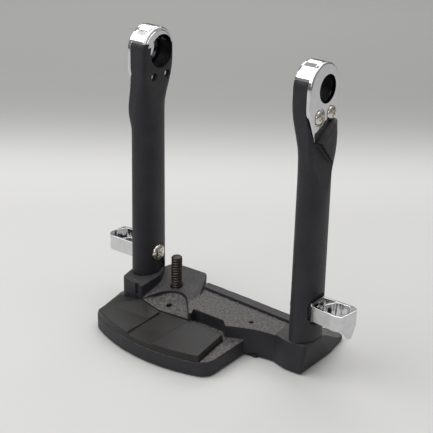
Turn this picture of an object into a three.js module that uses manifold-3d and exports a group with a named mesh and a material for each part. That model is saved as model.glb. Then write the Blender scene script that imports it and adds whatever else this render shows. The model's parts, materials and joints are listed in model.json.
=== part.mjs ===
// Frame of a bass drum pedal: a base casting with a rubber hoop pad, two upright posts whose
// split bearing heads are closed by chromed caps, a hoop clamp stud and two swivelling spring
// anchors. Millimetres, +Z up, floor at z = 0. X runs along the axle, -Y is the hoop side.
import * as THREE from "three";
import { mergeVertices } from "three/addons/utils/BufferGeometryUtils.js";
import Module from "manifold-3d";

const wasm = await Module();
wasm.setup();

// ---- driving dimensions ----
const GAP = 0.3; // clearance kept between pieces that touch
const SNUG = 0.1; // clearance round threads and pins
const THROUGH = 20; // cutting tools reach this far past a post axis
const WIDE = 40; // the same for tools that take in a whole head
const SKY = 240; // height above every piece
const POST_SPACING = 136;
const AXLE_HEIGHT = 192.3;
const LEFT_BASE_HEIGHT = 29.3; // seat of the left post
const RIGHT_BASE_HEIGHT = 22.2; // seat of the right post
const FRONT_EDGE = -65; // foremost point of the hoop plate
const REAR_EDGE = 46; // end of the right toe

// Base casting
const CASTING_BOTTOM = 0.6; // the floor pads stand this proud
const PLATE_TOP = 11.6;
const PAD_POCKET_FLOOR = 10.4;
const PAD_BASE_TOP = 14.4;
const PAD_TILE_TOP = 15.8;
const ARM_TOP = 20.9;
const LEDGE_TOP = 22.6;
const FRONT_ARC_RADIUS = 120;
const FRONT_ARC_X = -16;
const FRONT_ARC_LEFT = 0.455; // half angles of the front arc
const FRONT_ARC_RIGHT = 0.33;
const DECK_HEIGHT_AT_AXLE = 23.2;
const DECK_SLOPE = 0.135;

// Post column and bearing head; u runs outward from the post axis
const COLUMN_HALF_THICKNESS = 9.5;
const COLUMN_HALF_DEPTH = 14.8;
const COLUMN_TAPER = 0.0062; // loss of half size per millimetre of height
const COLUMN_TOP = 134; // below this the column is a plain tapered oval
const HEAD_INNER = -10;
const HEAD_OUTER = 1.3;
const HEAD_HALF_WIDTH = 16;
const HEAD_CENTRE_V = -0.2;
const HEAD_TOP = 209.3;
const BORE_V = 2.7; // the axle sits this far behind the post axis
const BEARING_RADIUS = 11;
const CAP_HOLE_RADIUS = 8.9;
const PARTING_HEIGHT = 199.3;
const HOUSING_PARTING_HEIGHT = 196.4;
const HOUSING_RIM = 3.6; // wall of the bearing housing
const PLATE_THICKNESS = 3;
const FACET_TOP = 159.4; // lower end of the recess for the cap plate
const FACET_FALL = 0.5; // height lost per millimetre outward
const SHOULDER_OUTER = 1.4; // where the slope in front of the cap plate starts
const SHOULDER_TOP = 181.5;
const SHOULDER_FALL = 7.2;
const RELIEF_BOTTOM = 118; // below this nothing is cut from the outer side of the column
const PLATE_BEVEL = 0.8;

// Fasteners
const CAP_SCREW_HEIGHT = 175.5;
const CAP_SCREW_V = 2.1; // middle between the two cap screws
const CAP_SCREW_OFFSET = 6.8;
const SCREW_RADIUS = 2.5;
const HOLE_RADIUS = 2.75;
const CAP_SCREW_HEAD = { radius: 4.7, height: 2.9 };
const ANCHOR_SCREW_HEAD = { radius: 6, height: 3.4 };
const HEAD_RIM = 0.6; // straight edge of a pan head
const CAP_SCREW_RECESS = 2.4; // the shank ends this far inside the inner face
const COUNTERBORE_RADIUS = 5.8;
const COUNTERBORE_DEPTH = 1.1;
const STUD_X = -42.3;
const STUD_Y = 0.4;
const STUD_TOP = 46.4;
const STUD_RADIUS = 4;
const NUT_ACROSS_FLATS = 13;
const NUT_HEIGHT = 6.5;
const BOLT_U = -2; // the post bolt stands this far inboard of the post axis
const BOLT_RADIUS = 3;
const BOLT_HEAD_RADIUS = 5;
const BOLT_HEAD_HEIGHT = 6;
const BOLT_REACH = 11; // how far the post bolt runs into the post
const BOLT_SEAT = 11; // face that the washer bears on
const WASHER_RADIUS = 6;
const WASHER_THICKNESS = 1.6;
const DOWEL_RADIUS = 2.5;
const DOWEL_HALF_LENGTH = 8;
const DOWEL_V = 9.6;

// Spring anchors
const ANCHOR_HEIGHT = 44.5; // height of the swivel screw
const ANCHOR_HALF_HEIGHT = 5.5;
const FLANGE_INNER = 6.4; // lies in a round recess in the side of the post
const FLANGE_THICKNESS = 2;
const FLANGE_HALF_WIDTH = 8.3;
const FLANGE_HALF_HEIGHT = 6.4;
const SWIVEL_RECESS_RADIUS = 10.9; // lets the flange turn
const SCREW_SEAT = 8; // face inside the post that the swivel screw bears on
const KEYWAY_FLOOR = 6.2; // flat cut into the inner side of the post below the screw
const RING_U = 23.8;
const RING_V = -1.4;
const RING_HOLE_RADIUS = 8;
const RING_LOBE = 0.5;
const RING_LOBES = 6;
const RING_WEB_RADIUS = 9.5;

// Facets used on round shapes
const FINE = 48;
const MEDIUM = 24;
const COARSE = 16;
const CURVE_STEPS = 6;

// ---- materials ----
const finish = (color, roughness, metalness) =>
  new THREE.MeshStandardMaterial({ color, roughness, metalness });
const BLACK_COAT = () => finish(0x2b2a2d, 0.6, 0.1);
const CHROME = () => finish(0xd8d8da, 0.08, 1);
const SCREW_NICKEL = () => finish(0xc9bfae, 0.2, 1);
const DARK_STEEL = () => finish(0x3a342e, 0.45, 0.9);
const RUBBER = () => finish(0x2d2b2b, 0.75, 0);
const ZINC = () => finish(0xa7a9ab, 0.35, 0.9);

// ---- solids ----

// A closed three.js geometry as a manifold solid.
function solid(geometry) {
  const bare = geometry.clone();
  bare.deleteAttribute("normal");
  bare.deleteAttribute("uv");
  const merged = mergeVertices(bare, 1e-4);
  const index = merged.index.array;
  const triVerts = [];
  for (let i = 0; i < index.length; i += 3) {
    const [a, b, c] = index.slice(i, i + 3);
    if (a !== b && b !== c && c !== a) triVerts.push(a, b, c);
  }
  return new wasm.Manifold(
    new wasm.Mesh({
      numProp: 3,
      vertProperties: merged.attributes.position.array,
      triVerts: new Uint32Array(triVerts),
    }),
  );
}

const union = (first, ...rest) => rest.reduce((all, next) => all.add(next), first);
const cut = (body, ...tools) => tools.reduce((left, tool) => left.subtract(tool), body);

// A named mesh of one finished solid.
function part(name, manifold, material) {
  const made = manifold.getMesh();
  const geometry = new THREE.BufferGeometry();
  geometry.setAttribute("position", new THREE.BufferAttribute(made.vertProperties, 3));
  geometry.setIndex(new THREE.BufferAttribute(made.triVerts, 1));
  geometry.computeVertexNormals();
  const mesh = new THREE.Mesh(geometry, material);
  mesh.name = name;
  return mesh;
}

// A polygon whose corners [x, y, setback] are rounded off from the setback distance on.
function outline(corners) {
  const shape = new THREE.Shape();
  corners.forEach(([x, y, setback = 0], i) => {
    const corner = new THREE.Vector2(x, y);
    const before = new THREE.Vector2(...corners.at(i - 1));
    const after = new THREE.Vector2(...corners[(i + 1) % corners.length]);
    const start = before.sub(corner).setLength(setback).add(corner);
    const end = after.sub(corner).setLength(setback).add(corner);
    if (i === 0) shape.moveTo(start.x, start.y);
    else shape.lineTo(start.x, start.y);
    if (setback > 0) shape.quadraticCurveTo(x, y, end.x, end.y);
  });
  shape.closePath();
  return shape;
}

// A closed curve given as a function of the angle.
function closedCurve(pointAt, steps) {
  const points = Array.from({ length: steps }, (_, i) => pointAt((i / steps) * 2 * Math.PI));
  return new THREE.Shape(points);
}

const disc = (x, y, radius, steps = MEDIUM) =>
  closedCurve(
    (angle) => new THREE.Vector2(x + radius * Math.cos(angle), y + radius * Math.sin(angle)),
    steps,
  );

// Extrusions of a shape: along Z of a plan (x, y), along X of a side view (y, z).
function extrude(shape, depth, bevel = 0) {
  return new THREE.ExtrudeGeometry(shape, {
    depth,
    bevelEnabled: bevel > 0,
    bevelThickness: bevel,
    bevelSize: bevel,
    bevelOffset: -bevel,
    bevelSegments: 1,
    curveSegments: CURVE_STEPS,
  });
}
function prismZ(shape, bottom, top) {
  return solid(extrude(shape, top - bottom).translate(0, 0, bottom));
}
function prismX(shape, from, to, bevel = 0) {
  const turn = new THREE.Matrix4().makeBasis(
    new THREE.Vector3(0, 1, 0),
    new THREE.Vector3(0, 0, 1),
    new THREE.Vector3(1, 0, 0),
  );
  return solid(extrude(shape, to - from, bevel).applyMatrix4(turn).translate(from, 0, 0));
}
// An extrusion along Y of a front view (x, z).
function prismY(shape, from, to) {
  const turn = new THREE.Matrix4().makeBasis(
    new THREE.Vector3(1, 0, 0),
    new THREE.Vector3(0, 0, 1),
    new THREE.Vector3(0, -1, 0),
  );
  return solid(extrude(shape, to - from).applyMatrix4(turn).translate(0, to, 0));
}

// A body of revolution about a line along X at (y, z); profile points are [x, radius].
function turnedX(profile, y, z, steps = MEDIUM) {
  const points = profile.map(([x, radius]) => new THREE.Vector2(radius, x));
  const geometry = new THREE.LatheGeometry(points, steps);
  return solid(geometry.rotateZ(-Math.PI / 2).translate(0, y, z));
}
// The same about a vertical line at (x, y); profile points are [z, radius].
function turnedZ(profile, x, y, steps = MEDIUM) {
  const points = profile.map(([z, radius]) => new THREE.Vector2(radius, z));
  const geometry = new THREE.LatheGeometry(points, steps);
  return solid(geometry.rotateX(Math.PI / 2).translate(x, y, 0));
}

// A body through a stack of rings with the same number of points, closed by flat ends.
function loft(rings) {
  const count = rings[0].length;
  const positions = rings.flat().flatMap((point) => [point.x, point.y, point.z]);
  const index = [];
  for (let r = 0; r + 1 < rings.length; r++) {
    for (let i = 0; i < count; i++) {
      const a = r * count + i;
      const b = r * count + ((i + 1) % count);
      index.push(a, b, b + count, a, b + count, a + count);
    }
  }
  const last = (rings.length - 1) * count;
  for (let i = 1; i + 1 < count; i++) {
    index.push(0, i + 1, i);
    index.push(last, last + i, last + i + 1);
  }
  const geometry = new THREE.BufferGeometry();
  geometry.setAttribute("position", new THREE.Float32BufferAttribute(positions, 3));
  geometry.setIndex(index);
  return solid(geometry);
}

// ---- base casting ----

const deckHeight = (y) => DECK_HEIGHT_AT_AXLE + DECK_SLOPE * y;

// Plan of the front plate and everything left of the arm; its front edge is one long arc.
function platePlan() {
  const centreY = FRONT_EDGE + FRONT_ARC_RADIUS;
  const leftAngle = -Math.PI / 2 - FRONT_ARC_LEFT;
  const rightAngle = -Math.PI / 2 + FRONT_ARC_RIGHT;
  const plan = new THREE.Shape();
  plan.moveTo(29.8, -12);
  plan.lineTo(29.8, -48.5);
  plan.quadraticCurveTo(29.8, -56.2, 22.9, -58.5);
  plan.absarc(FRONT_ARC_X, centreY, FRONT_ARC_RADIUS, rightAngle, leftAngle, true);
  plan.quadraticCurveTo(-74.4, -50.2, -75.8, -44.8);
  plan.lineTo(-81.8, -16);
  plan.lineTo(-82, 4);
  plan.quadraticCurveTo(-82, 16.5, -71, 16.5);
  plan.lineTo(-66.6, 16.5);
  plan.lineTo(-64, 21.6);
  plan.quadraticCurveTo(-62.8, 24, -60, 24.1);
  plan.lineTo(-38, 24.6);
  plan.quadraticCurveTo(-31, 24, -29, 17);
  plan.closePath();
  return plan;
}

// The raised deck between the pedestal and the arm; its top falls towards the hoop side and
// down to the arm.
function deck() {
  const plan = outline([
    [-79.5, -14, 1],
    [-71, -21, 2],
    [-54, -24.6, 0.5],
    [-50, -25],
    [-13.4, -22.4, 0.4],
    [-11.4, -21.4, 0.8],
    [-14.6, -14.5],
    [-29, 17, 2],
    [-33.6, 24.8, 3],
    [-62.8, 24, 2],
    [-66.4, 16.4, 1],
    [-80.2, 16.4, 9],
  ]);
  const front = outline([
    [-90, CASTING_BOTTOM],
    [-5, CASTING_BOTTOM],
    [-5, ARM_TOP],
    [-21, ARM_TOP],
    [-36, ARM_TOP + 7],
    [-36, 60],
    [-90, 60],
  ]);
  const side = outline([
    [-40, CASTING_BOTTOM],
    [40, CASTING_BOTTOM],
    [40, deckHeight(40)],
    [-40, deckHeight(-40)],
  ]);
  return prismZ(plan, CASTING_BOTTOM, 60)
    .intersect(prismX(side, -90, 0))
    .intersect(prismY(front, -50, 50));
}

// Arched recess in front of the stud; its floor falls from the lip and from the left to the
// hoop pad.
function scoop() {
  const plan = new THREE.Shape();
  plan.moveTo(-53.4, -30);
  plan.lineTo(-52.3, -24.6);
  plan.splineThru([
    new THREE.Vector2(-50.2, -18),
    new THREE.Vector2(-46.8, -11.5),
    new THREE.Vector2(-41.6, -6.6),
    new THREE.Vector2(-35, -4.8),
    new THREE.Vector2(-28.4, -6.8),
    new THREE.Vector2(-21.9, -12.6),
    new THREE.Vector2(-16.6, -18.7),
    new THREE.Vector2(-13.4, -22.6),
  ]);
  plan.lineTo(-12, -30);
  plan.closePath();
  const floor = new THREE.Shape();
  floor.moveTo(-32, 14.8);
  floor.lineTo(-25, 14.8);
  floor.quadraticCurveTo(-15, 17.4, -3, 20.9);
  floor.lineTo(-3, 60);
  floor.lineTo(-32, 60);
  floor.closePath();
  const rise = outline([
    [-60, 21.8],
    [-36, 14],
    [-5, 14],
    [-5, 60],
    [-60, 60],
  ]);
  return prismZ(plan, 10, 60)
    .intersect(prismX(floor, -60, -5))
    .intersect(prismY(rise, -40, 0));
}

function pedestal() {
  const plan = outline([
    [-73.7, -22.6, 3.5],
    [-53, -25.4, 1.2],
    [-54.8, -3, 1.5],
    [-58.6, 5, 1],
    [-61, 9, 1],
    [-65.8, 15.8, 2],
    [-78.6, 16.4, 6],
    [-78.4, -2],
  ]);
  const mark = outline([
    [-66.4, -21.9, 0.7],
    [-60, -22.3, 0.7],
    [-59.9, -20.8, 0.7],
    [-66.3, -20.4, 0.7],
  ]);
  const notch = outline([
    [-59.6, -27],
    [-56.2, -27],
    [-56.2, -23.4],
    [-59.6, -23],
  ]);
  return cut(
    prismZ(plan, CASTING_BOTTOM, LEFT_BASE_HEIGHT),
    prismZ(mark, LEFT_BASE_HEIGHT - 0.8, LEFT_BASE_HEIGHT + 1),
    prismZ(notch, PLATE_TOP + 1, LEFT_BASE_HEIGHT + 1),
  );
}

// The cross arm to the right foot, with the nose beside the pad and the ledge along its back.
function arm() {
  const plan = outline([
    [-34, 17],
    [-18, -16.2],
    [12.2, -16.4, 1],
    [17.6, -22, 1.6],
    [26, -17.6, 4],
    [37, -13.4, 5],
    [49, -11, 6],
    [62, -13.6],
    [62, 15],
    [44, 16.6],
    [7, 18.6],
  ]);
  const ledge = outline([
    [-31, 12.6],
    [9.8, 10.8],
    [62, 7.9],
    [62, 15],
    [44, 16.6],
    [7, 18.6],
    [-28, 19.8],
  ]);
  return union(
    prismZ(plan, CASTING_BOTTOM, ARM_TOP),
    prismZ(ledge, CASTING_BOTTOM, LEDGE_TOP),
  );
}

// The groove along the foot of the ledge.
function ledgeGroove() {
  const plan = outline([
    [-26, 11.4],
    [9.8, 9.7],
    [57, 7.1],
    [57, 8.2],
    [9.8, 10.8],
    [-26, 12.5],
  ]);
  return prismZ(plan, ARM_TOP - 0.9, ARM_TOP + 6);
}

// The foot under the right post: a block with a long wedge toe and an oval seat for the post.
function foot() {
  const plan = outline([
    [52, -12.2],
    [62, -15, 3],
    [76.6, -14.2, 2.5],
    [77.8, 2],
    [74.6, 22],
    [71, REAR_EDGE, 4],
    [53.5, REAR_EDGE, 4],
    [53.5, 16],
    [50, 14],
  ]);
  const side = new THREE.Shape();
  side.moveTo(-20, CASTING_BOTTOM);
  side.lineTo(REAR_EDGE + 2, CASTING_BOTTOM);
  side.lineTo(REAR_EDGE + 2, 3.4);
  side.quadraticCurveTo(40, 3.8, 34, 7);
  side.lineTo(22, 13.9);
  side.quadraticCurveTo(12, 20.6, 2, RIGHT_BASE_HEIGHT);
  side.lineTo(-20, RIGHT_BASE_HEIGHT);
  side.closePath();
  const front = outline([
    [40, 0],
    [74.4, 0],
    [77.8, RIGHT_BASE_HEIGHT + 1],
    [40, RIGHT_BASE_HEIGHT + 1],
  ]);
  const rings = [
    [CASTING_BOTTOM, 5, 11],
    [12, 7.6, 13.6],
    [RIGHT_BASE_HEIGHT, 9.3, 14.8],
  ];
  const ovalSeat = loft(rings.map(([z, halfX, halfY]) => ovalRing(halfX, halfY, z)));
  const block = prismZ(plan, CASTING_BOTTOM, 40)
    .intersect(prismX(side, 40, 90))
    .intersect(prismY(front, -40, 60));
  return union(block, ovalSeat.translate([POST_SPACING / 2, 0, 0]));
}

// Back edge of the pad pocket from right to left, moved forward by a margin.
const padBack = (margin) => [
  [18.8, -24.8 - margin, 1],
  [-11, -21.8 - margin],
  [-16, -22.6 - margin],
  [-36, -24.2 - margin],
  [-52, -25.2 - margin],
  [-74.2 + margin, -22.6 - margin, 1],
  [-74.8 + margin, -26],
];

// Pocket of the hoop pad, open at the front edge of the plate.
function padPocket() {
  const plan = outline([[-67.4, -80], [26.9, -80], ...padBack(0)]);
  return prismZ(plan, PAD_POCKET_FLOOR, 40);
}

// Places of the five rubber pads let into the underside: name, centre and half sizes.
const FLOOR_PADS = [
  ["floor_pad_front_left", -56, -40, 11, 8],
  ["floor_pad_front_right", 13, -41, 10, 8],
  ["floor_pad_rear_left", -46, 16, 9, 5.5],
  ["floor_pad_arm", 34, -5, 5, 9.4],
  ["floor_pad_foot", 62, 30, 5.5, 11],
];
const FLOOR_PAD_RECESS = 1.6;

function padPlan(x, y, halfX, halfY) {
  return outline([
    [x - halfX, y - halfY, 2],
    [x + halfX, y - halfY, 2],
    [x + halfX, y + halfY, 2],
    [x - halfX, y + halfY, 2],
  ]);
}

// Hole for a bolt from below, widened for its head and washer; side is -1 left, 1 right.
function boltHole(side, top) {
  const x = (side * POST_SPACING) / 2;
  return union(
    prismZ(disc(x + side * BOLT_U, 0, WASHER_RADIUS + GAP), 0, BOLT_SEAT),
    prismZ(disc(x + side * BOLT_U, 0, BOLT_RADIUS + GAP), 0, top + 5),
    prismZ(disc(x, DOWEL_V, DOWEL_RADIUS + SNUG), top - DOWEL_HALF_LENGTH - 0.5, top + 5),
  );
}

function hexagon(x, y, acrossFlats) {
  return disc(x, y, acrossFlats / 2 / Math.cos(Math.PI / 6), 6);
}

// Room for the oval foot of the right post where the ledge meets it.
function postClearance() {
  const grow = COLUMN_HALF_THICKNESS + GAP;
  const plan = closedCurve(
    (angle) =>
      new THREE.Vector2(
        POST_SPACING / 2 + grow * Math.cos(angle),
        (COLUMN_HALF_DEPTH + GAP) * Math.sin(angle),
      ),
    FINE,
  );
  return prismZ(plan, RIGHT_BASE_HEIGHT, 40);
}

function baseCasting() {
  const body = union(
    cut(union(prismZ(platePlan(), CASTING_BOTTOM, PLATE_TOP), deck()), padPocket(), scoop()),
    pedestal(),
    arm(),
    foot(),
  );
  const recesses = FLOOR_PADS.map(([, x, y, halfX, halfY]) =>
    prismZ(
      padPlan(x, y, halfX + GAP, halfY + GAP),
      0,
      CASTING_BOTTOM + FLOOR_PAD_RECESS,
    ),
  );
  return cut(
    body,
    ...recesses,
    postClearance(),
    ledgeGroove(),
    boltHole(-1, LEFT_BASE_HEIGHT),
    boltHole(1, RIGHT_BASE_HEIGHT),
    prismZ(disc(STUD_X, STUD_Y, STUD_RADIUS + GAP), 0, 60),
    prismZ(hexagon(STUD_X, STUD_Y, NUT_ACROSS_FLATS + 2 * GAP), 0, 3 + NUT_HEIGHT + GAP),
    prismZ(disc(-35, -17, 2, 16), 11, 30),
    prismZ(disc(28.5, -6.5, 1.6, 16), 14, 30),
  );
}

// ---- posts ----

// One point of a rounded section; the exponents square up its inner and outer halves.
function sectionPoint(angle, inner, outer, frontDepth, rearDepth, z) {
  const cos = Math.cos(angle);
  const sin = Math.sin(angle);
  const half = cos < 0 ? inner : outer;
  const power = 2 / half.exponent;
  const u = Math.sign(cos) * Math.abs(cos) ** power * half.reach;
  const v = Math.sign(sin) * Math.abs(sin) ** power * (sin < 0 ? frontDepth : rearDepth);
  return new THREE.Vector3(u, v, z);
}

function ovalRing(halfThickness, halfDepth, z) {
  const half = { reach: halfThickness, exponent: 2 };
  return Array.from({ length: FINE }, (_, i) => {
    const angle = (i / FINE) * 2 * Math.PI;
    return sectionPoint(angle, half, half, halfDepth, halfDepth, z);
  });
}

// Column section at a height, growing from the oval over a square front shoulder into the flat
// sided bearing head.
function postRing(z) {
  const { lerp, smoothstep } = THREE.MathUtils;
  const halfThickness = COLUMN_HALF_THICKNESS - COLUMN_TAPER * z * 0.6;
  const halfDepth = COLUMN_HALF_DEPTH - COLUMN_TAPER * z;
  const head = smoothstep(z, 146, 187);
  const shoulder = smoothstep(z, 136, 160) * (1 - 0.6 * smoothstep(z, 160, 172));
  const inner = { reach: lerp(halfThickness, -HEAD_INNER, head), exponent: 2 + 8 * head ** 2 };
  const outer = { reach: halfThickness, exponent: 2 + 2.6 * shoulder };
  const frontReach = HEAD_HALF_WIDTH - HEAD_CENTRE_V;
  const rearReach = HEAD_HALF_WIDTH + HEAD_CENTRE_V;
  const front = lerp(halfDepth, frontReach, Math.max(head, shoulder * 0.6));
  const rear = lerp(halfDepth, rearReach, smoothstep(z, 160, 186));
  return Array.from({ length: FINE }, (_, i) =>
    sectionPoint((i / FINE) * 2 * Math.PI, inner, outer, front, rear, z),
  );
}

// Everything farther out than a face of the head, with the slope that runs onto the column.
function outside(face, top, fall) {
  const profile = outline([
    [face, SKY],
    [face, top],
    [face + THROUGH, top - THROUGH * fall],
    [face + THROUGH, SKY],
  ]);
  return prismY(profile, -WIDE, WIDE);
}

// What is cut from the outer side of the head: a deep recess for the cap plate and its pointed
// tip, and a long slope in front of it and below it. The rear shoulder stays whole.
function outerRelief() {
  const tip = [
    [-5.8, RELIEF_BOTTOM],
    [-8.1, RELIEF_BOTTOM],
  ];
  const rearEdge = [
    [-5.8, 159.4],
    [-0.7, 164.4],
    [6.5, 169.75],
    [13, 171.1],
    [WIDE, 171.1],
    [WIDE, SKY],
    [-WIDE, SKY],
  ];
  const frontEdge = [
    [-WIDE, 180.2],
    [-16.5, 180.2],
    [-11.8, 167.3],
    [-8.1, 159.3],
  ];
  const slope = [
    [-WIDE, RELIEF_BOTTOM],
    [29, RELIEF_BOTTOM],
  ];
  const deep = prismX(outline([...rearEdge, ...frontEdge, ...tip.toReversed()]), -THROUGH, WIDE);
  const shallow = prismX(outline([...rearEdge, ...slope]), -THROUGH, WIDE);
  return union(
    outside(HEAD_OUTER, FACET_TOP, FACET_FALL).intersect(deep),
    outside(SHOULDER_OUTER, SHOULDER_TOP, SHOULDER_FALL).intersect(shallow),
  );
}

// The half space above a height, wide enough for the whole head.
function above(height) {
  return prismX(
    outline([
      [-WIDE, height],
      [WIDE, height],
      [WIDE, SKY],
      [-WIDE, SKY],
    ]),
    -WIDE,
    WIDE,
  );
}

// The region of the head that belongs to the cap: all above the parting line, and the rim of
// the bearing housing down to a lower step.
function capRegion(gap) {
  const housing = disc(BORE_V, AXLE_HEIGHT, BEARING_RADIUS + HOUSING_RIM - gap, FINE);
  const rim = prismX(housing, -WIDE, WIDE);
  return union(above(PARTING_HEIGHT + gap), rim.intersect(above(HOUSING_PARTING_HEIGHT + gap)));
}

// Full head silhouette above the column, seen along the axle.
function headOutline(shrink) {
  const centreZ = HEAD_TOP - HEAD_HALF_WIDTH;
  const radius = HEAD_HALF_WIDTH - shrink;
  const shape = new THREE.Shape();
  shape.moveTo(HEAD_CENTRE_V + radius, COLUMN_TOP);
  shape.lineTo(HEAD_CENTRE_V + radius, centreZ);
  shape.absarc(HEAD_CENTRE_V, centreZ, radius, 0, Math.PI, false);
  shape.lineTo(HEAD_CENTRE_V - radius, COLUMN_TOP);
  shape.closePath();
  return shape;
}

// The head silhouette with a rounded edge on its inner side, and the column left whole below.
function headEnvelope() {
  const round = 2.4;
  const steps = [0, 0.35, 0.7, 1].map((share) =>
    prismX(
      headOutline(round * (1 - Math.sqrt(1 - share ** 2))),
      HEAD_INNER + round * (1 - share),
      THROUGH,
    ),
  );
  return union(prismZ(disc(0, 0, WIDE), 0, HEAD_TOP - 1.5 * HEAD_HALF_WIDTH), ...steps);
}

function column(baseHeight) {
  const heights = [baseHeight + SNUG / 2, COLUMN_TOP];
  for (let z = COLUMN_TOP + 4; z < HEAD_TOP - HEAD_HALF_WIDTH; z += 6) heights.push(z);
  heights.push(HEAD_TOP + 1);
  return loft(heights.map(postRing));
}

function post(baseHeight) {
  const keyway = outline([
    [3.4, baseHeight - 5],
    [12, baseHeight - 5],
    [4.2, ANCHOR_HEIGHT - 2, 2],
    [-4, ANCHOR_HEIGHT - 2, 2],
  ]);
  const rearScrewV = CAP_SCREW_V + CAP_SCREW_OFFSET;
  const rearHead = disc(rearScrewV, CAP_SCREW_HEIGHT, CAP_SCREW_HEAD.radius + GAP);
  const screwHoles = [-1, 1].map((side) => {
    const v = CAP_SCREW_V + side * CAP_SCREW_OFFSET;
    return prismX(disc(v, CAP_SCREW_HEIGHT, HOLE_RADIUS), -THROUGH, THROUGH);
  });
  return cut(
    column(baseHeight).intersect(headEnvelope()),
    outerRelief(),
    capRegion(0),
    prismX(rearHead, HEAD_OUTER, THROUGH),
    prismX(disc(BORE_V, AXLE_HEIGHT, BEARING_RADIUS, FINE), -THROUGH, THROUGH),
    ...screwHoles,
    prismX(keyway, -THROUGH, -KEYWAY_FLOOR),
    prismX(disc(0, ANCHOR_HEIGHT, ANCHOR_SCREW_HEAD.radius + GAP), -THROUGH, -SCREW_SEAT),
    prismX(disc(0, ANCHOR_HEIGHT, SWIVEL_RECESS_RADIUS, FINE), FLANGE_INNER - GAP, THROUGH),
    prismX(disc(0, ANCHOR_HEIGHT, HOLE_RADIUS), -THROUGH, THROUGH),
    prismZ(disc(BOLT_U, 0, BOLT_RADIUS + SNUG), 0, baseHeight + BOLT_REACH + 1),
    prismZ(disc(0, DOWEL_V, DOWEL_RADIUS + SNUG), 0, baseHeight + DOWEL_HALF_LENGTH + 0.5),
  );
}

// ---- bearing caps ----

// The cap's flat plate with a bevelled outer edge: a round top and a pointed tip.
function capPlate(inner, outer) {
  const halfTurn = FINE / 2;
  const top = Array.from({ length: halfTurn + 1 }, (_, i) => {
    const angle = (i / halfTurn) * Math.PI;
    return [
      HEAD_CENTRE_V + HEAD_HALF_WIDTH * Math.cos(angle),
      HEAD_TOP - HEAD_HALF_WIDTH + HEAD_HALF_WIDTH * Math.sin(angle),
    ];
  });
  const shape = outline([
    ...top,
    [HEAD_CENTRE_V - HEAD_HALF_WIDTH, 180.6, 3],
    [-11.3, 167.6, 2],
    [-7.6, 160, 0.6],
    [-6, 160, 0.6],
    [-1, 164.8, 1.5],
    [6.3, 170.2, 2],
    [12.8, 171.5, 1.5],
    [14.4, 181, 3],
  ]);
  const bevelled = prismX(shape, inner, outer - PLATE_BEVEL, PLATE_BEVEL);
  return cut(bevelled, prismX(disc(0, AXLE_HEIGHT, 60), inner - 2 * PLATE_BEVEL, inner));
}

// The bearing seat, as deep as the black part of the head.
function seat() {
  return prismX(disc(BORE_V, AXLE_HEIGHT, BEARING_RADIUS, FINE), -THROUGH, HEAD_OUTER + GAP / 2);
}

function bearingCap() {
  const inner = HEAD_OUTER + GAP / 2;
  const outer = inner + PLATE_THICKNESS;
  const face = capPlate(inner, outer);
  const tipBevel = prismY(
    outline([
      [outer - 1.2, COLUMN_TOP],
      [outer - 1.2, 160],
      [outer + 0.1, 167.4],
      [outer + 9, 167.4],
      [outer + 9, COLUMN_TOP],
    ]),
    -WIDE,
    WIDE,
  );
  const wrap = column(LEFT_BASE_HEIGHT)
    .intersect(headEnvelope())
    .intersect(capRegion(GAP / 2))
    .subtract(outerRelief());
  const bridge = prismX(headOutline(0), HEAD_OUTER - 0.5, inner + 0.5).intersect(
    above(PARTING_HEIGHT + GAP),
  );
  const counterbores = [-1, 1].flatMap((side) => {
    const v = CAP_SCREW_V + side * CAP_SCREW_OFFSET;
    return [
      prismX(disc(v, CAP_SCREW_HEIGHT, HOLE_RADIUS), 0, THROUGH),
      prismX(disc(v, CAP_SCREW_HEIGHT, COUNTERBORE_RADIUS), outer - COUNTERBORE_DEPTH, THROUGH),
    ];
  });
  return cut(
    union(cut(face, tipBevel), cut(union(wrap, bridge), seat())),
    prismX(disc(BORE_V, AXLE_HEIGHT, CAP_HOLE_RADIUS, FINE), -THROUGH, THROUGH),
    ...counterbores,
  );
}

// ---- fasteners ----

// Cross recess of a driver, cut into a head whose top is at x = top.
function crossRecess(top, y, z, size) {
  const slot = (halfY, halfZ) =>
    prismX(
      outline([
        [y - halfY, z - halfZ],
        [y + halfY, z - halfZ],
        [y + halfY, z + halfZ],
        [y - halfY, z + halfZ],
      ]),
      top - size * 0.32,
      top + 3,
    );
  return union(slot(size * 0.5, size * 0.12), slot(size * 0.12, size * 0.5));
}

// A pan head screw along X: the head rises from x = seatX, the shank ends at x = tip.
function panScrew(seatX, tip, y, z, head) {
  const dome = Array.from({ length: 5 }, (_, i) => {
    const angle = (i / 4) * (Math.PI / 2);
    return [
      seatX + HEAD_RIM + (head.height - HEAD_RIM) * Math.sin(angle),
      head.radius * Math.cos(angle),
    ];
  });
  dome[dome.length - 1][1] = 0;
  const profile = [
    [tip, 0],
    [tip, SCREW_RADIUS - 0.5],
    [tip + 0.5, SCREW_RADIUS],
    [seatX, SCREW_RADIUS],
    [seatX, head.radius],
    ...dome,
  ];
  const body = turnedX(profile, y, z, COARSE + 4);
  return cut(body, crossRecess(seatX + head.height, y, z, head.radius));
}

function capScrew(v) {
  const seatU = HEAD_OUTER + GAP / 2 + PLATE_THICKNESS - COUNTERBORE_DEPTH + 0.1;
  return panScrew(seatU, HEAD_INNER + CAP_SCREW_RECESS, v, CAP_SCREW_HEIGHT, CAP_SCREW_HEAD);
}

// The swivel screw of a spring anchor: its head is on the inner side of the post.
function anchorScrew() {
  const seatX = SCREW_SEAT + 0.2;
  const reach = FLANGE_INNER + FLANGE_THICKNESS + 1;
  const screw = panScrew(seatX, -reach, 0, ANCHOR_HEIGHT, ANCHOR_SCREW_HEAD);
  return screw.rotate([0, 0, 180]);
}

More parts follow.
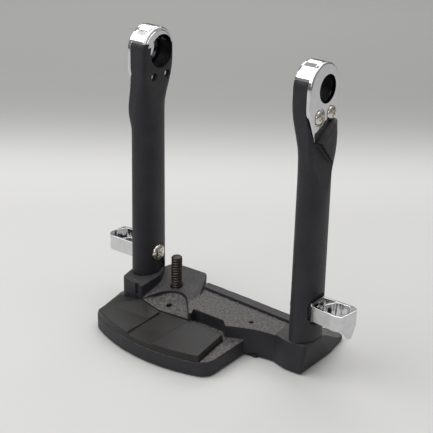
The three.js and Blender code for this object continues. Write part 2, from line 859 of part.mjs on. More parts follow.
function clampStud() {
  return turnedZ(
    [
      [3, 0],
      [3, STUD_RADIUS],
      [STUD_TOP - 0.8, STUD_RADIUS],
      [STUD_TOP, STUD_RADIUS - 0.9],
      [STUD_TOP, 0],
    ],
    STUD_X,
    STUD_Y,
  );
}

function clampStudNut() {
  return cut(
    prismZ(hexagon(STUD_X, STUD_Y, NUT_ACROSS_FLATS), 3, 3 + NUT_HEIGHT),
    prismZ(disc(STUD_X, STUD_Y, STUD_RADIUS + GAP / 2), 0, 20),
  );
}

function postBolt(baseHeight) {
  const seatZ = BOLT_SEAT - WASHER_THICKNESS - 0.2;
  const body = turnedZ(
    [
      [seatZ - BOLT_HEAD_HEIGHT, 0],
      [seatZ - BOLT_HEAD_HEIGHT, BOLT_HEAD_RADIUS - 0.6],
      [seatZ - BOLT_HEAD_HEIGHT + 0.6, BOLT_HEAD_RADIUS],
      [seatZ, BOLT_HEAD_RADIUS],
      [seatZ, BOLT_RADIUS],
      [baseHeight + BOLT_REACH - 1, BOLT_RADIUS],
      [baseHeight + BOLT_REACH, BOLT_RADIUS - 1],
      [baseHeight + BOLT_REACH, 0],
    ],
    BOLT_U,
    0,
    COARSE,
  );
  return cut(body, prismZ(hexagon(BOLT_U, 0, 5), 0, seatZ - BOLT_HEAD_HEIGHT / 2));
}

function postWasher() {
  const top = BOLT_SEAT - 0.1;
  return cut(
    prismZ(disc(BOLT_U, 0, WASHER_RADIUS, COARSE), top - WASHER_THICKNESS, top),
    prismZ(disc(BOLT_U, 0, BOLT_RADIUS + 0.25, COARSE), 0, 30),
  );
}

function postDowel(baseHeight) {
  return prismZ(
    disc(0, DOWEL_V, DOWEL_RADIUS - 0.05, COARSE),
    baseHeight - DOWEL_HALF_LENGTH,
    baseHeight + DOWEL_HALF_LENGTH,
  );
}

// ---- spring anchors ----

const anchorZ = (half) => [ANCHOR_HEIGHT - half, ANCHOR_HEIGHT + half];

// The right anchor carries a tab under its end wall, the left one doesn't.
function springAnchor(hasTab) {
  const flangeOuter = FLANGE_INNER + FLANGE_THICKNESS;
  const flange = prismX(
    outline([
      [-FLANGE_HALF_WIDTH, ANCHOR_HEIGHT - FLANGE_HALF_HEIGHT, 0.8],
      [FLANGE_HALF_WIDTH, ANCHOR_HEIGHT - FLANGE_HALF_HEIGHT, 0.8],
      [FLANGE_HALF_WIDTH, ANCHOR_HEIGHT + FLANGE_HALF_HEIGHT, 0.8],
      [-FLANGE_HALF_WIDTH, ANCHOR_HEIGHT + FLANGE_HALF_HEIGHT, 0.8],
    ]),
    FLANGE_INNER,
    flangeOuter,
  );
  const rearCorners = hasTab
    ? [
        [34.6, 5.3, 1],
        [31.3, 8.5, 2.5],
      ]
    : [
        [33.4, 4.2, 2.4],
        [29.4, 8.5, 2.8],
      ];
  const shell = outline([
    [flangeOuter - 1, -FLANGE_HALF_WIDTH],
    [19, -10, 3],
    [27.4, -11.5, 3],
    [32.4, -9.8, 1],
    ...rearCorners,
    [flangeOuter - 1, 8.2],
  ]);
  const pocket = outline([
    [flangeOuter + 0.2, -6.6, 0.6],
    [RING_U - 4, -8.4],
    [RING_U - 4, 6.7],
    [flangeOuter + 0.2, 6.5, 0.6],
  ]);
  const scallop = closedCurve((angle) => {
    const radius = RING_HOLE_RADIUS + RING_LOBE * Math.cos(RING_LOBES * angle);
    return new THREE.Vector2(
      RING_U + radius * Math.cos(angle),
      RING_V + radius * Math.sin(angle),
    );
  }, FINE);
  const [bottom, top] = anchorZ(ANCHOR_HALF_HEIGHT);
  const pocketTool = cut(
    prismZ(pocket, 0, 80),
    prismZ(disc(RING_U, RING_V, RING_WEB_RADIUS, FINE), 0, 80),
  );
  let body = cut(
    union(flange, prismZ(shell, bottom, top)),
    pocketTool,
    prismZ(scallop, 0, 80),
    prismX(disc(0, ANCHOR_HEIGHT, HOLE_RADIUS), 0, 14),
  );
  if (hasTab) {
    const tab = outline([
      [-9, bottom + 0.5],
      [-1.4, 31],
      [1, 31],
      [5.2, bottom + 0.5],
    ]);
    const endWall = outline([
      [31, -10],
      [32.4, -9.8],
      [34.6, 5.3],
      [33, 5.6],
    ]);
    body = union(body, prismX(tab, 28, 36).intersect(prismZ(endWall, 20, 60)));
  }
  return body;
}

// ---- hoop pad ----

// The rubber pad: a base with two raised tiles, the left one rising to the pedestal.
function hoopPad() {
  const arc = disc(FRONT_ARC_X, FRONT_EDGE + FRONT_ARC_RADIUS, FRONT_ARC_RADIUS - 0.4, 160);
  const base = outline([[-67, -80], [26.4, -80], ...padBack(0.4)]);
  const leftTile = outline([
    [-66.6, -80],
    [-33, -80],
    [-34.8, -27.6, 0.6],
    [-52, -26],
    [-73.4, -23.6, 0.6],
    [-74, -27],
  ]);
  const rightTile = outline([
    [-12.6, -80],
    [26, -80],
    [18.2, -25.6, 0.6],
    [-11.4, -22.8, 0.6],
  ]);
  const rise = outline([
    [-40, PAD_TILE_TOP - 1],
    [-20, PAD_TILE_TOP - 1],
    [-20, 20.9],
    [-40, PAD_TILE_TOP],
  ]);
  const crest = outline([
    [-76, PAD_TILE_TOP - 1],
    [-34, PAD_TILE_TOP - 1],
    [-34, PAD_TILE_TOP + 0.2],
    [-53, 19.3],
    [-69, PAD_TILE_TOP],
    [-76, PAD_TILE_TOP],
  ]);
  const bottom = PAD_POCKET_FLOOR + 0.1;
  const wedge = prismZ(leftTile, bottom, 30)
    .intersect(prismX(rise, -80, -30))
    .intersect(prismY(crest, -45, -20));
  return union(
    prismZ(base, bottom, PAD_BASE_TOP),
    prismZ(leftTile, bottom, PAD_TILE_TOP),
    prismZ(rightTile, bottom, PAD_TILE_TOP),
    wedge,
  ).intersect(prismZ(arc, 0, 40));
}

function floorPad(x, y, halfX, halfY) {
  return prismZ(padPlan(x, y, halfX, halfY), 0, CASTING_BOTTOM + FLOOR_PAD_RECESS - 0.2);
}

// ---- assembly ----

// One upright with everything fastened to it, built for the right side about its own axis.
function upright(side, baseHeight, hasTab) {
  const group = new THREE.Group();
  const frontV = CAP_SCREW_V - CAP_SCREW_OFFSET;
  const rearV = CAP_SCREW_V + CAP_SCREW_OFFSET;
  group.add(
    part(`${side}_post`, post(baseHeight), BLACK_COAT()),
    part(`${side}_bearing_cap`, bearingCap(), CHROME()),
    part(`${side}_cap_screw_front`, capScrew(frontV), SCREW_NICKEL()),
    part(`${side}_cap_screw_rear`, capScrew(rearV), SCREW_NICKEL()),
    part(`${side}_anchor_screw`, anchorScrew(), SCREW_NICKEL()),
    part(`${side}_post_bolt`, postBolt(baseHeight), DARK_STEEL()),
    part(`${side}_post_washer`, postWasher(), ZINC()),
    part(`${side}_post_dowel`, postDowel(baseHeight), ZINC()),
  );
  const anchor = part(`${side}_spring_anchor`, springAnchor(hasTab), CHROME());
  group.add(anchor);
  if (side === "left") {
    group.scale.x = -1; // the heads mirror each other
    anchor.scale.y = -1; // the anchor is the right one turned half round
  }
  group.position.x = (side === "left" ? -1 : 1) * (POST_SPACING / 2);
  return group;
}

const group = new THREE.Group();
group.add(
  part("base_casting", baseCasting(), BLACK_COAT()),
  part("hoop_pad", hoopPad(), RUBBER()),
  part("clamp_stud", clampStud(), DARK_STEEL()),
  part("clamp_stud_nut", clampStudNut(), ZINC()),
  upright("left", LEFT_BASE_HEIGHT, false),
  upright("right", RIGHT_BASE_HEIGHT, true),
);
for (const [name, ...place] of FLOOR_PADS) {
  group.add(part(name, floorPad(...place), RUBBER()));
}
group.position.y = -(FRONT_EDGE + REAR_EDGE) / 2; // origin under the middle of the whole frame

export default group;
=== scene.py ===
# Frame of a bass drum pedal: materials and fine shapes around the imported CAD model.
import json
import math

import bmesh
import bpy
from mathutils import Matrix, Vector


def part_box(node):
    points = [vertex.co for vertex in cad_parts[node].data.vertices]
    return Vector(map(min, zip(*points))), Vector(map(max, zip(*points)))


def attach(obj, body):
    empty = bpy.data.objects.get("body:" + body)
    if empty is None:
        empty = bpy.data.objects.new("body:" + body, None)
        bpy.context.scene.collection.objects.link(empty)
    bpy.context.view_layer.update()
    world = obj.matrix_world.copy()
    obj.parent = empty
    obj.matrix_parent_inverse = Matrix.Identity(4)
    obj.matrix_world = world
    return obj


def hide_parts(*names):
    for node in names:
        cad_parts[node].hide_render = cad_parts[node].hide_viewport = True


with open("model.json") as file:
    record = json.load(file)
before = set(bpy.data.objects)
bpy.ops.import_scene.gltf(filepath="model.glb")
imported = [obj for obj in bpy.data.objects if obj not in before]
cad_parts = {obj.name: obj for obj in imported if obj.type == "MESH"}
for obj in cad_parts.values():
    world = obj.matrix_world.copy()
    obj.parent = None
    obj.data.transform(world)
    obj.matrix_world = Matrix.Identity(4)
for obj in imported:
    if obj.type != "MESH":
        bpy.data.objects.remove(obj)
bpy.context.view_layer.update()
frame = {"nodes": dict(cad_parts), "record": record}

MM = 0.001
BODY_OF = {
    node: body
    for body, nodes in frame["record"]["behaviour"]["bodies"].items()
    for node in nodes
}


# ---- camera, lights and floor ----

CAMERA_AZIMUTH = 36.721
CAMERA_ELEVATION = 23.441
CAMERA_ROLL = 1.187
CAMERA_PLACE = (0.42132, -0.56567, 0.39787)
CAMERA_LENS = 95.95
SENSOR_WIDTH = 36


def make_camera():
    azimuth = math.radians(CAMERA_AZIMUTH)
    elevation = math.radians(CAMERA_ELEVATION)
    forward = Vector((
        -math.sin(azimuth) * math.cos(elevation),
        math.cos(azimuth) * math.cos(elevation),
        -math.sin(elevation),
    ))
    level = forward.cross(Vector((0, 0, 1))).normalized()
    up = level.cross(forward)
    roll = math.radians(CAMERA_ROLL)
    right = level * math.cos(roll) + up * math.sin(roll)
    up = right.cross(forward)
    data = bpy.data.cameras.new("camera")
    data.sensor_width = SENSOR_WIDTH
    data.lens = CAMERA_LENS
    data.clip_start = 0.01
    data.clip_end = 50
    camera = bpy.data.objects.new("camera", data)
    turn = Matrix((right, up, -forward)).transposed()
    camera.matrix_world = Matrix.Translation(CAMERA_PLACE) @ turn.to_4x4()
    bpy.context.scene.collection.objects.link(camera)
    bpy.context.scene.camera = camera


def area_light(name, place, target, size, power):
    data = bpy.data.lights.new(name, "AREA")
    data.shape = "RECTANGLE"
    data.size, data.size_y = size
    data.energy = power
    light = bpy.data.objects.new(name, data)
    light.location = place
    aim = Vector(target) - Vector(place)
    light.rotation_euler = aim.to_track_quat("-Z", "Y").to_euler()
    bpy.context.scene.collection.objects.link(light)


def make_lights():
    area_light("key_softbox", (-0.5, -0.6, 1.15), (0, 0, 0.08), (1.3, 1.1), 12)
    area_light("top_softbox", (0.1, 0.2, 1.5), (0, 0, 0), (1.2, 1.0), 9)
    area_light("back_softbox", (-0.7, 1.2, 1.3), (0, 0, 0.1), (1.6, 0.8), 9)
    area_light("front_fill", (0.7, -1.5, 0.8), (0, 0, 0.1), (0.9, 0.7), 3)


SKY_STRENGTH = 0.45
HORIZON = 0.30
ZENITH = 1.0
ZENITH_FROM = 0.8  # share of the way up at which the sky is at its brightest


def make_world():
    world = bpy.data.worlds.new("studio")
    bpy.context.scene.world = world
    world.use_nodes = True
    nodes, links = world.node_tree.nodes, world.node_tree.links
    nodes.clear()
    output = nodes.new("ShaderNodeOutputWorld")
    background = nodes.new("ShaderNodeBackground")
    background.inputs["Strength"].default_value = SKY_STRENGTH
    place = nodes.new("ShaderNodeTexCoord")
    split = nodes.new("ShaderNodeSeparateXYZ")
    ramp = nodes.new("ShaderNodeValToRGB")
    horizon, zenith = ramp.color_ramp.elements
    horizon.position = 0.0
    horizon.color = (HORIZON, HORIZON, HORIZON, 1)
    zenith.position = ZENITH_FROM
    zenith.color = (ZENITH, ZENITH, ZENITH, 1)
    links.new(place.outputs["Generated"], split.inputs[0])
    links.new(split.outputs["Z"], ramp.inputs[0])
    links.new(ramp.outputs[0], background.inputs["Color"])
    links.new(background.outputs[0], output.inputs["Surface"])


# Painted light and shade on the studio paper along the line of sight: metres behind the frame,
# albedo.
PAINTED_PAPER_LIGHT = [
    (-1.0, 0.545), (0.21, 0.545), (0.27, 0.575), (0.33, 0.585), (0.40, 0.455),
    (0.47, 0.34), (0.56, 0.30), (0.755, 0.32), (0.98, 0.355), (2.0, 0.355),
]
PAPER_NEAR = PAINTED_PAPER_LIGHT[0][0]
PAPER_FAR = PAINTED_PAPER_LIGHT[-1][0]


FLOOR_REACH = 12.0
FLOOR_DROP = 0.0003  # keeps the paper clear of the floor pads


def make_floor():
    mesh = bpy.data.meshes.new("floor")
    reach = FLOOR_REACH
    corners = [(-reach, -reach, 0), (reach, -reach, 0), (reach, reach, 0), (-reach, reach, 0)]
    mesh.from_pydata(corners, [], [(0, 1, 2, 3)])
    floor = bpy.data.objects.new("floor", mesh)
    floor.location.z = -FLOOR_DROP
    bpy.context.scene.collection.objects.link(floor)
    material = bpy.data.materials.new("floor_paper")
    material.use_nodes = True
    nodes, links = material.node_tree.nodes, material.node_tree.links
    shader = nodes["Principled BSDF"]
    shader.inputs["Roughness"].default_value = 0.9
    shader.inputs["Specular IOR Level"].default_value = 0.2
    place = nodes.new("ShaderNodeTexCoord")
    away = nodes.new("ShaderNodeVectorMath")
    away.operation = "DOT_PRODUCT"
    azimuth = math.radians(CAMERA_AZIMUTH)
    away.inputs[1].default_value = (-math.sin(azimuth), math.cos(azimuth), 0)
    share = nodes.new("ShaderNodeMapRange")
    share.inputs["From Min"].default_value = PAPER_NEAR
    share.inputs["From Max"].default_value = PAPER_FAR
    ramp = nodes.new("ShaderNodeValToRGB")
    ramp.color_ramp.interpolation = "B_SPLINE"
    stops = ramp.color_ramp.elements
    while len(stops) < len(PAINTED_PAPER_LIGHT):
        stops.new(0.5)
    # These stops paint the lamps' light and shade into the paper's colour: lighter near the frame,
    # darker further back.
    for stop, (distance, albedo) in zip(stops, PAINTED_PAPER_LIGHT):
        stop.position = (distance - PAPER_NEAR) / (PAPER_FAR - PAPER_NEAR)
        stop.color = (albedo, albedo * 0.995, albedo * 0.98, 1)
    grain = metric_noise(nodes, links, 900, 3.0)
    links.new(place.outputs["Object"], away.inputs[0])
    links.new(away.outputs["Value"], share.inputs["Value"])
    links.new(share.outputs[0], ramp.inputs[0])
    links.new(ramp.outputs[0], shader.inputs["Base Color"])
    add_bump(nodes, links, shader, grain.outputs[0], 0.0002, 0.15)
    mesh.materials.append(material)


# ---- materials ----

def new_material(name, colour, roughness, metallic=0.0):
    material = bpy.data.materials.new(name)
    material.use_nodes = True
    shader = material.node_tree.nodes["Principled BSDF"]
    shader.inputs["Base Color"].default_value = (*colour, 1)
    shader.inputs["Roughness"].default_value = roughness
    shader.inputs["Metallic"].default_value = metallic
    return material, material.node_tree.nodes, material.node_tree.links, shader


def metric_noise(nodes, links, scale, detail=3.0, roughness=0.55):
    """Noise over object space, whose scale is in features per metre."""
    place = nodes.new("ShaderNodeTexCoord")
    noise = nodes.new("ShaderNodeTexNoise")
    noise.inputs["Scale"].default_value = scale
    noise.inputs["Detail"].default_value = detail
    noise.inputs["Roughness"].default_value = roughness
    links.new(place.outputs["Object"], noise.inputs["Vector"])
    return noise


def tint(nodes, links, factor, low, high, start=0.3, end=0.7):
    ramp = nodes.new("ShaderNodeValToRGB")
    ramp.color_ramp.elements[0].position = start
    ramp.color_ramp.elements[0].color = (*low, 1)
    ramp.color_ramp.elements[1].position = end
    ramp.color_ramp.elements[1].color = (*high, 1)
    links.new(factor, ramp.inputs[0])
    return ramp.outputs[0]


def spread(nodes, links, factor, low, high):
    scale = nodes.new("ShaderNodeMapRange")
    scale.inputs["To Min"].default_value = low
    scale.inputs["To Max"].default_value = high
    links.new(factor, scale.inputs["Value"])
    return scale.outputs[0]


def add_bump(nodes, links, shader, height, distance, strength=1.0):
    bump = nodes.new("ShaderNodeBump")
    bump.inputs["Distance"].default_value = distance
    bump.inputs["Strength"].default_value = strength
    links.new(height, bump.inputs["Height"])
    links.new(bump.outputs[0], shader.inputs["Normal"])
    return bump


def up_facing(nodes, links, start=0.55, end=0.9):
    """How far a surface faces up: 0 on walls, 1 on level tops."""
    geometry = nodes.new("ShaderNodeNewGeometry")
    split = nodes.new("ShaderNodeSeparateXYZ")
    share = nodes.new("ShaderNodeMapRange")
    share.inputs["From Min"].default_value = start
    share.inputs["From Max"].default_value = end
    links.new(geometry.outputs["True Normal"], split.inputs[0])
    links.new(split.outputs["Z"], share.inputs["Value"])
    return share.outputs[0]


def mixed(nodes, links, factor, low, high):
    mix = nodes.new("ShaderNodeMix")
    mix.data_type = "RGBA"
    links.new(factor, mix.inputs["Factor"])
    links.new(low, mix.inputs["A"])
    links.new(high, mix.inputs["B"])
    return mix.outputs["Result"]


def product(nodes, links, first, second, factor=1.0):
    multiply = nodes.new("ShaderNodeMath")
    multiply.operation = "MULTIPLY"
    links.new(first, multiply.inputs[0])
    links.new(second, multiply.inputs[1])
    scale = nodes.new("ShaderNodeMath")
    scale.operation = "MULTIPLY"
    scale.inputs[1].default_value = factor
    links.new(multiply.outputs[0], scale.inputs[0])
    return scale.outputs[0]


# Where the bearing seats and the holes in the cap plates are given painted shade, a near-black colour
# in place of the shade inside them.
BORE_Y = 0.0122  # axis of the bearing seats
BORE_Z = 0.1923
SEAT_REACH = 0.0114  # takes in the wall of a bearing seat
HOLE_REACH = 0.0092  # takes in the wall of the smaller hole in a cap plate
CAP_PLATE_X = 0.0693  # inner face of the cap plates


def below(nodes, links, value, limit):
    """1 where the value is below the limit."""
    less = nodes.new("ShaderNodeMath")
    less.operation = "LESS_THAN"
    less.inputs[1].default_value = limit
    links.new(value, less.inputs[0])
    return less.outputs[0]


def inside_bores(nodes, links):
    """1 on the walls of the two bearing seats and of the holes in the plates, 0 elsewhere: where the
    coat and the chrome get painted shade.
    """
    place = nodes.new("ShaderNodeTexCoord")
    shift = nodes.new("ShaderNodeVectorMath")
    shift.operation = "SUBTRACT"
    shift.inputs[1].default_value = (0, BORE_Y, BORE_Z)
    across = nodes.new("ShaderNodeVectorMath")
    across.operation = "MULTIPLY"
    across.inputs[1].default_value = (0, 1, 1)
    length = nodes.new("ShaderNodeVectorMath")
    length.operation = "LENGTH"
    split = nodes.new("ShaderNodeSeparateXYZ")
    size = nodes.new("ShaderNodeMath")
    size.operation = "ABSOLUTE"
    links.new(place.outputs["Object"], shift.inputs[0])
    links.new(shift.outputs[0], across.inputs[0])
    links.new(across.outputs[0], length.inputs[0])
    links.new(place.outputs["Object"], split.inputs[0])
    links.new(split.outputs["X"], size.inputs[0])
    away = length.outputs["Value"]
    in_seat = below(nodes, links, away, SEAT_REACH)
    behind_plate = below(nodes, links, size.outputs[0], CAP_PLATE_X)
    in_hole = below(nodes, links, away, HOLE_REACH)
    either = nodes.new("ShaderNodeMath")
    either.operation = "MAXIMUM"
    links.new(product(nodes, links, in_seat, behind_plate), either.inputs[0])
    links.new(in_hole, either.inputs[1])
    return either.outputs[0]


STIPPLED_BELOW = 0.0212  # the tops below this height are stippled and get the lightest, speckled painted light, those above are smooth
STIPPLE_FADE = 0.0008
# Features of the coat per metre
COAT_GRAIN = 1400
COAT_STIPPLE = 620
COAT_PATCHES = 55


def stippled_heights(nodes, links):
    """1 at the height of the arm, the scoop and the plate, 0 above."""
    place = nodes.new("ShaderNodeTexCoord")
    split = nodes.new("ShaderNodeSeparateXYZ")
    share = nodes.new("ShaderNodeMapRange")
    share.inputs["From Min"].default_value = STIPPLED_BELOW + STIPPLE_FADE
    share.inputs["From Max"].default_value = STIPPLED_BELOW
    links.new(place.outputs["Object"], split.inputs[0])
    links.new(split.outputs["Z"], share.inputs["Value"])
    return share.outputs[0]


def powder_coat():
    """Satin black coat: smooth on the walls, coarse and duller on the level tops, whose lighter
    colour is painted light from above.
    """
    material, nodes, links, shader = new_material("black_powder_coat", (0.02, 0.02, 0.022), 0.5)
    fine = metric_noise(nodes, links, COAT_GRAIN, 2.0)
    coarse = metric_noise(nodes, links, COAT_STIPPLE, 2.5, 0.6)
    patch = metric_noise(nodes, links, COAT_PATCHES, 3.0)
    level = up_facing(nodes, links)
    wall = tint(nodes, links, patch.outputs[0], (0.0165, 0.016, 0.019), (0.0255, 0.0242, 0.0288))
    # Painted light from above: level tops get a lighter colour than the walls, speckled and lightest
    # on the low stippled tops.
    lit_smooth_top = tint(nodes, links, patch.outputs[0], (0.034, 0.032, 0.033), (0.05, 0.047, 0.048))
    lit_rough_top = tint(nodes, links, coarse.outputs[0], (0.04, 0.037, 0.036), (0.125, 0.118, 0.114),
                     0.38, 0.66)
    lit_top = mixed(nodes, links, stippled_heights(nodes, links), lit_smooth_top, lit_rough_top)
    # Painted shade: a near-black, less glossy colour on the walls of the bearing seats.
    bore_shade = nodes.new("ShaderNodeRGB")
    bore_shade.outputs[0].default_value = (0.004, 0.004, 0.005, 1)
    # The coat's colour mixes the walls' own tone with the painted light on the tops.
    coat = mixed(nodes, links, level, wall, lit_top)
    bore_shade_mask = inside_bores(nodes, links)
    links.new(mixed(nodes, links, bore_shade_mask, coat, bore_shade.outputs[0]), shader.inputs["Base Color"])
    links.new(spread(nodes, links, bore_shade_mask, 0.32, 0.08), shader.inputs["Specular IOR Level"])
    links.new(spread(nodes, links, fine.outputs[0], 0.4, 0.6), shader.inputs["Roughness"])
    bump = add_bump(nodes, links, shader, fine.outputs[0], 0.0002, 0.5)
    stipple = nodes.new("ShaderNodeBump")
    stipple.inputs["Distance"].default_value = 0.0007
    links.new(coarse.outputs[0], stipple.inputs["Height"])
    links.new(spread(nodes, links, level, 0.35, 0.95), stipple.inputs["Strength"])
    links.new(bump.outputs[0], stipple.inputs["Normal"])
    links.new(stipple.outputs[0], shader.inputs["Normal"])
    return material


def chrome():
    material, nodes, links, shader = new_material("polished_chrome", (0.66, 0.66, 0.67), 0.07, 1.0)
    haze = metric_noise(nodes, links, 220, 4.0)
    ripple = metric_noise(nodes, links, 130, 1.0)
    links.new(spread(nodes, links, haze.outputs[0], 0.05, 0.13), shader.inputs["Roughness"])
    plate = tint(nodes, links, haze.outputs[0], (0.62, 0.62, 0.635), (0.7, 0.7, 0.705))
    # Painted shade: a near-black colour on the walls of the bearing seats and the plate holes, in
    # place of their dark reflection.
    bore_shade = nodes.new("ShaderNodeRGB")
    bore_shade.outputs[0].default_value = (0.02, 0.02, 0.022, 1)
    bore_shade_mask = inside_bores(nodes, links)
    links.new(mixed(nodes, links, bore_shade_mask, plate, bore_shade.outputs[0]), shader.inputs["Base Color"])
    add_bump(nodes, links, shader, ripple.outputs[0], 0.0004, 0.12)
    return material


def nickel():
    material, nodes, links, shader = new_material("nickel_plate", (0.7, 0.65, 0.55), 0.16, 1.0)
    haze = metric_noise(nodes, links, 500, 4.0)
    links.new(
        tint(nodes, links, haze.outputs[0], (0.66, 0.61, 0.52), (0.8, 0.77, 0.7)),
        shader.inputs["Base Color"],
    )
    links.new(spread(nodes, links, haze.outputs[0], 0.1, 0.24), shader.inputs["Roughness"])
    return material


def dark_steel():
    material, nodes, links, shader = new_material("black_oxide", (0.05, 0.042, 0.035), 0.38, 0.8)
    stain = metric_noise(nodes, links, 300, 4.0)
    links.new(
        tint(nodes, links, stain.outputs[0], (0.03, 0.027, 0.025), (0.075, 0.065, 0.054)),
        shader.inputs["Base Color"],
    )
    links.new(spread(nodes, links, stain.outputs[0], 0.3, 0.5), shader.inputs["Roughness"])
    return material


def zinc_plate():
    material, nodes, links, shader = new_material("zinc_plate", (0.5, 0.51, 0.52), 0.3, 1.0)
    spangle = metric_noise(nodes, links, 400, 3.0)
    links.new(
        tint(nodes, links, spangle.outputs[0], (0.42, 0.43, 0.44), (0.56, 0.57, 0.58)),
        shader.inputs["Base Color"],
    )
    links.new(spread(nodes, links, spangle.outputs[0], 0.22, 0.42), shader.inputs["Roughness"])
    return material


def moulded_rubber():
    material, nodes, links, shader = new_material("moulded_rubber", (0.03, 0.028, 0.028), 0.5)
    shader.inputs["Specular IOR Level"].default_value = 0.22
    grain = metric_noise(nodes, links, 2500, 2.0)
    dust = metric_noise(nodes, links, 45, 4.0)
    links.new(
        tint(nodes, links, dust.outputs[0], (0.016, 0.015, 0.0145), (0.026, 0.0242, 0.0235)),
        shader.inputs["Base Color"],
    )
    links.new(spread(nodes, links, dust.outputs[0], 0.33, 0.48), shader.inputs["Roughness"])
    add_bump(nodes, links, shader, grain.outputs[0], 0.0001, 0.25)
    return material


FINISHES = {
    "black_coat": powder_coat(),
    "chrome": chrome(),
    "nickel_screw": nickel(),
    "dark_steel": dark_steel(),
    "rubber": moulded_rubber(),
    "zinc": zinc_plate(),
}
SLOT_OF = {row["node"]: row["material_slot"] for row in frame["record"]["subparts"]}


# ---- shapes ----

def finished(obj, node, material=None):
    """Gives a new piece the finish and body of the CAD node that it stands for."""
    obj.data.materials.clear()
    obj.data.materials.append(material or FINISHES[SLOT_OF[node]])
    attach(obj, BODY_OF[node])
    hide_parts(node)
    return obj


def baked(obj):
    """Applies an object's modifiers to its mesh."""
    graph = bpy.context.evaluated_depsgraph_get()
    mesh = bpy.data.meshes.new_from_object(obj.evaluated_get(graph))
    obj.modifiers.clear()
    obj.data = mesh
    return obj


def softened(obj, voxel, rounds):
    """Rebuilds a solid as one even skin and rounds its edges, as casting and coating do."""
    remesh = obj.modifiers.new("skin", "REMESH")
    remesh.mode = "VOXEL"
    remesh.voxel_size = voxel
    remesh.adaptivity = 0
    remesh.use_smooth_shade = True
    smooth = obj.modifiers.new("round", "SMOOTH")
    smooth.factor = 0.5
    smooth.iterations = rounds
    baked(obj)
    for polygon in obj.data.polygons:
        polygon.use_smooth = True
    return obj


def linked(name, mesh):
    obj = bpy.data.objects.new(name, mesh)
    bpy.context.scene.collection.objects.link(obj)
    return obj


def cast_copy(node, voxel, rounds):
    source = frame["nodes"][node]
    obj = linked(node + "_cast", source.data.copy())
    return finished(softened(obj, voxel, rounds), node)


def turned(name, profile, steps=64):
    """A closed body of revolution about Z from (height, radius) pairs that start and end on it."""
    mesh = bmesh.new()
    rings = []
    for height, radius in profile:
        if radius == 0:
            rings.append([mesh.verts.new((0, 0, height))])
            continue
        rings.append([
            mesh.verts.new((
                radius * math.cos(2 * math.pi * i / steps),
                radius * math.sin(2 * math.pi * i / steps),
                height,
            ))
            for i in range(steps)
        ])
    for low, high in zip(rings, rings[1:]):
        for i in range(steps):
            j = (i + 1) % steps
            corners = [low[i % len(low)], low[j % len(low)], high[j % len(high)], high[i % len(high)]]
            mesh.faces.new(list(dict.fromkeys(corners)))
    bmesh.ops.recalc_face_normals(mesh, faces=mesh.faces)
    data = bpy.data.meshes.new(name)
    mesh.to_mesh(data)
    mesh.free()
    return linked(name, data)


def subtract(obj, tool):
    boolean = obj.modifiers.new("cut", "BOOLEAN")
    boolean.operation = "DIFFERENCE"
    boolean.solver = "EXACT"
    boolean.object = tool
    baked(obj)
    bpy.data.objects.remove(tool)
    return obj


def box_mesh(name, low, high):
    mesh = bmesh.new()
    bmesh.ops.create_cube(mesh, size=1)
    middle = (Vector(low) + Vector(high)) / 2
    size = Vector(high) - Vector(low)
    for vertex in mesh.verts:
        vertex.co = Vector(vertex.co) * size + middle
    data = bpy.data.meshes.new(name)
    mesh.to_mesh(data)
    mesh.free()
    return linked(name, data)


def placed(obj, turn, place):
    obj.data.transform(Matrix.Translation(place) @ turn.to_4x4())
    obj.data.update()
    return obj


# A pan head screw along Z, in millimetres: its seat is at z = 0 and the head rises above it.
CAP_SCREW_HEAD_HEIGHT = 2.9
ANCHOR_SCREW_HEAD_HEIGHT = 3.4
HEAD_RIM = 0.7
SHANK_RADIUS = 2.5
THREAD_PITCH = 0.8
THREAD_DEPTH = 0.3
RECESS_REACH = 0.52  # of the head's radius
RECESS_HALF_WIDTH = 0.11
RECESS_DEPTH = 1.7
DOME_STEPS = 14
SCREW_SKIN = 0.16 * MM
POINT_LENGTH = 0.5  # cone at the end of the shank
PLAIN_LENGTH = 0.3  # plain shank under the head
HEAD_EDGE = 0.15  # chamfer round the seat of the head


def pan_screw(name, length, radius, height):
    dome = []
    for i in range(DOME_STEPS):
        angle = i / DOME_STEPS * math.pi / 2
        dome.append((HEAD_RIM + (height - HEAD_RIM) * math.sin(angle), radius * math.cos(angle)))
    dome.append((height, 0))
    profile = [(-length, 0), (-length, SHANK_RADIUS - POINT_LENGTH)]
    turn = -length + POINT_LENGTH
    while turn < -1:
        profile.append((turn, SHANK_RADIUS))
        profile.append((turn + THREAD_PITCH / 2, SHANK_RADIUS - THREAD_DEPTH))
        turn += THREAD_PITCH
    profile += [(-PLAIN_LENGTH, SHANK_RADIUS), (0, SHANK_RADIUS)]
    profile += [(0, radius - HEAD_EDGE), (0.25, radius)] + dome
    screw = turned(name, [(z * MM, r * MM) for z, r in profile])
    reach, half_width = radius * RECESS_REACH, radius * RECESS_HALF_WIDTH
    for reach_x, reach_y in ((reach, half_width), (half_width, reach)):
        cross = box_mesh(
            "recess",
            (-reach_x * MM, -reach_y * MM, (height - RECESS_DEPTH) * MM),
            (reach_x * MM, reach_y * MM, (height + 1) * MM),
        )
        subtract(screw, cross)
    return softened(screw, SCREW_SKIN, 3)


def screw_for(node, twist):
    """A screw in the place of a CAD screw: along X, the head on the side away from its shank."""
    low, high = (Vector(corner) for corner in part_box(node))
    middle = (low + high) / 2
    height = ANCHOR_SCREW_HEAD_HEIGHT if "anchor" in node else CAP_SCREW_HEAD_HEIGHT
    length = (high.x - low.x) / MM - height
    radius = (high.z - low.z) / MM / 2
    outward = -1 if middle.x < 0 else 1
    side = -outward if "anchor" in node else outward
    seat = high.x - height * MM if side > 0 else low.x + height * MM
    turn = Matrix.Rotation(side * math.pi / 2, 3, "Y") @ Matrix.Rotation(twist, 3, "Z")
    screw = pan_screw(node + "_turned", length, radius, height)
    return finished(placed(screw, turn, (seat, middle.y, middle.z)), node)


STUD_PITCH = 2.0
STUD_THREAD_DEPTH = 0.62
STUD_END_LENGTH = 1.1
STUD_END_ROUNDING = 1.0
STUD_CLEARANCE = 0.02


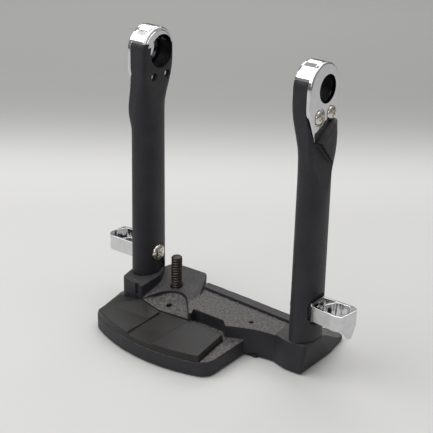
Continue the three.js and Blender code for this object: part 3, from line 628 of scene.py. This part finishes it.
def threaded_stud():
    """The clamp stud with a helical thread, rounded off at its upper end."""
    low, high = (Vector(corner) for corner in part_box("clamp_stud"))
    centre = (low + high) / 2
    radius = (high.x - low.x) / 2 - STUD_CLEARANCE * MM
    steps_round, steps_pitch = 48, 12
    pitch = STUD_PITCH * MM
    rows = int((high.z - low.z) / pitch * steps_pitch)
    mesh = bmesh.new()
    rings = []
    for row in range(rows + 1):
        height = low.z + (high.z - low.z) * row / rows
        ring = []
        for i in range(steps_round):
            angle = 2 * math.pi * i / steps_round
            phase = (height / pitch - i / steps_round) % 1.0
            ridge = 0.5 + 0.5 * math.cos(2 * math.pi * phase)
            depth = STUD_THREAD_DEPTH * MM * (1 - ridge ** 0.8)
            end = max(0.0, 1 - (high.z - height) / (STUD_END_LENGTH * MM))
            reach = radius - depth * (1 - end) - STUD_END_ROUNDING * MM * end ** 2
            ring.append(mesh.verts.new((
                centre.x + reach * math.cos(angle),
                centre.y + reach * math.sin(angle),
                height,
            )))
        rings.append(ring)
    for lower, upper in zip(rings, rings[1:]):
        for i in range(steps_round):
            j = (i + 1) % steps_round
            mesh.faces.new((lower[i], lower[j], upper[j], upper[i]))
    mesh.faces.new(list(reversed(rings[0])))
    mesh.faces.new(rings[-1])
    data = bpy.data.meshes.new("clamp_stud_threaded")
    mesh.to_mesh(data)
    mesh.free()
    obj = linked("clamp_stud_threaded", data)
    for polygon in data.polygons:
        polygon.use_smooth = True
    return finished(obj, "clamp_stud")


make_camera()
make_lights()
make_world()
make_floor()

# Skin size and rounds of smoothing of each cast or moulded piece
CAST = {
    "base_casting": (0.00045, 5),
    "left_post": (0.0004, 8),
    "right_post": (0.0004, 8),
    "left_bearing_cap": (0.00022, 4),
    "right_bearing_cap": (0.00022, 4),
    "left_spring_anchor": (0.00022, 4),
    "right_spring_anchor": (0.00022, 4),
    "hoop_pad": (0.0003, 3),
}
# Turn of each screw's cross recess
SCREWS = {
    "left_cap_screw_front": 0.4, "left_cap_screw_rear": 1.1, "left_anchor_screw": 0.7,
    "right_cap_screw_front": 0.3, "right_cap_screw_rear": 0.9, "right_anchor_screw": 0.2,
}
for node, (voxel, rounds) in CAST.items():
    cast_copy(node, voxel, rounds)
for node, twist in SCREWS.items():
    screw_for(node, twist)
threaded_stud()
for node, obj in frame["nodes"].items():
    if not obj.hide_render:
        obj.data.materials.clear()
        obj.data.materials.append(FINISHES[SLOT_OF[node]])
        for polygon in obj.data.polygons:
            polygon.use_smooth = False

bpy.context.scene.view_settings.view_transform = "Standard"
